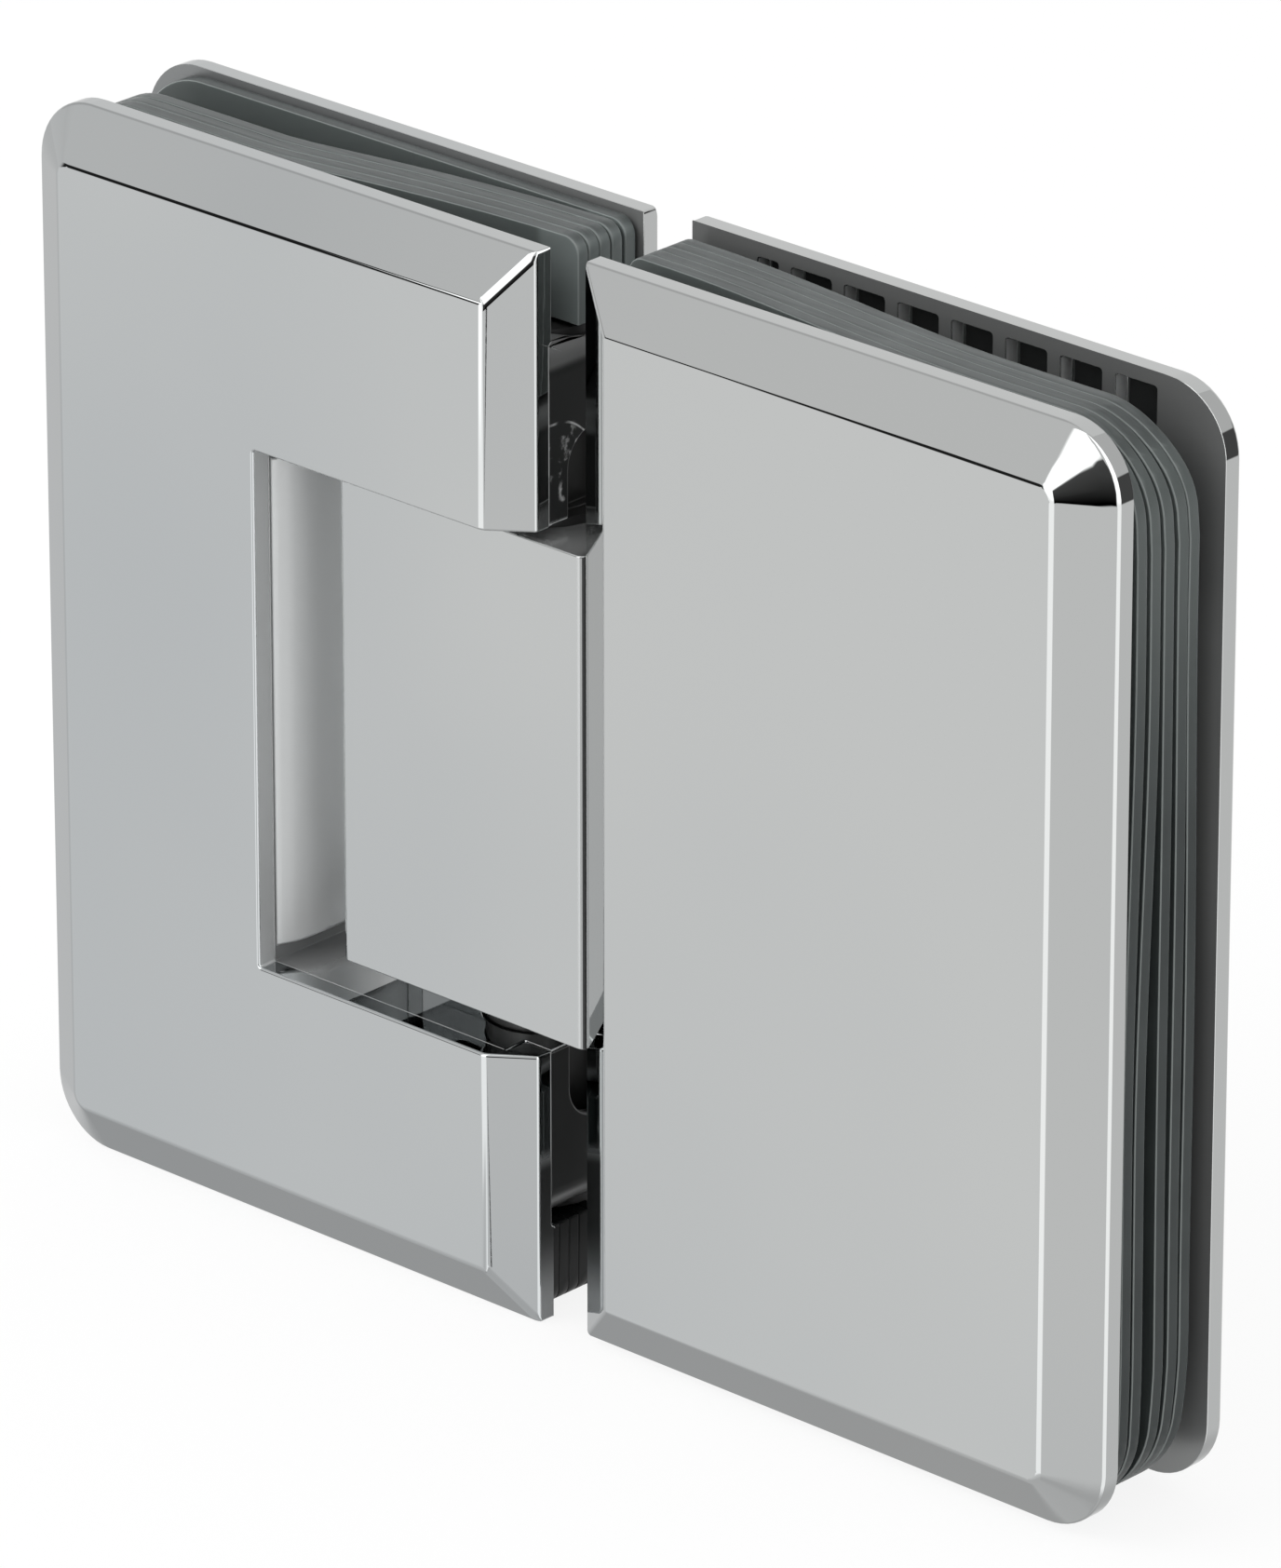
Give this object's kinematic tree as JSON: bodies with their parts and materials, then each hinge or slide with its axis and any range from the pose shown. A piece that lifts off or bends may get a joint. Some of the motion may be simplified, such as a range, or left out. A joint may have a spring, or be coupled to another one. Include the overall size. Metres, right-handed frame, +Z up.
{
  "type": "glass door hinge",
  "caption": "Glass-to-glass door hinge: two bevelled chrome clamps in line, a knuckle in a notch between them, a sprung self-centring pivot and stacked gasket sheets.",
  "frame": {"origin": "middle of the gap between the two clamps, at mid-thickness, on the bottom edge of the door clamp", "axes": "+X from the door clamp to the fixed clamp, +Y through the glass towards the screw side, +Z up along the pivot"},
  "size_m": [0.112, 0.0188, 0.0906],
  "materials": {
    "plate_chrome": "polished chrome plate",
    "knuckle_chrome": "polished chrome plate",
    "block_chrome": "chrome plate, satin where hidden",
    "pin_steel": "ground steel",
    "screw_steel": "bright steel",
    "spring_steel": "drawn wire",
    "plunger_brass": "turned",
    "bush_nylon": "moulded, black",
    "gasket": "smooth translucent grey sheet"
  },
  "bodies": {
    "fixed_clamp": {"fixed_front_plate": "plate_chrome", "fixed_back_plate": "plate_chrome", "knuckle": "knuckle_chrome", "pivot_pin": "pin_steel", "thrust_washer": "bush_nylon", "fixed_clamp_screws": "screw_steel", "grub_screws": "screw_steel", "fixed_gasket_1": "gasket", "fixed_gasket_2": "gasket", "fixed_gasket_3": "gasket", "fixed_gasket_4": "gasket", "fixed_gasket_5": "gasket"},
    "door_clamp": {"door_front_plate": "plate_chrome", "door_back_plate": "plate_chrome", "door_block": "block_chrome", "upper_bush": "bush_nylon", "lower_bush": "bush_nylon", "upper_spring": "spring_steel", "lower_spring": "spring_steel", "upper_spring_screw": "screw_steel", "lower_spring_screw": "screw_steel", "door_clamp_screws": "screw_steel", "door_gasket_1": "gasket", "door_gasket_2": "gasket", "door_gasket_3": "gasket", "door_gasket_4": "gasket", "door_gasket_5": "gasket"},
    "upper_plunger": {"upper_plunger": "plunger_brass"},
    "lower_plunger": {"lower_plunger": "plunger_brass"}
  },
  "joints": [
    {"name": "door_pivot", "type": "hinge", "parent": "fixed_clamp", "child": "door_clamp", "pos_m": [-0.0085, 0, 0.045], "axis": [0, 0, 1], "range_deg": [-90, 90]},
    {"name": "upper_plunger_slide", "type": "slide", "parent": "door_clamp", "child": "upper_plunger", "axis": [-1, 0, 0], "range_m": [-0.0009, 0.0015], "stiffness_N_per_m": 2000, "deforming": ["upper_spring"]},
    {"name": "lower_plunger_slide", "type": "slide", "parent": "door_clamp", "child": "lower_plunger", "axis": [-1, 0, 0], "range_m": [-0.0009, 0.0015], "stiffness_N_per_m": 2000, "deforming": ["lower_spring"]}
  ]
}
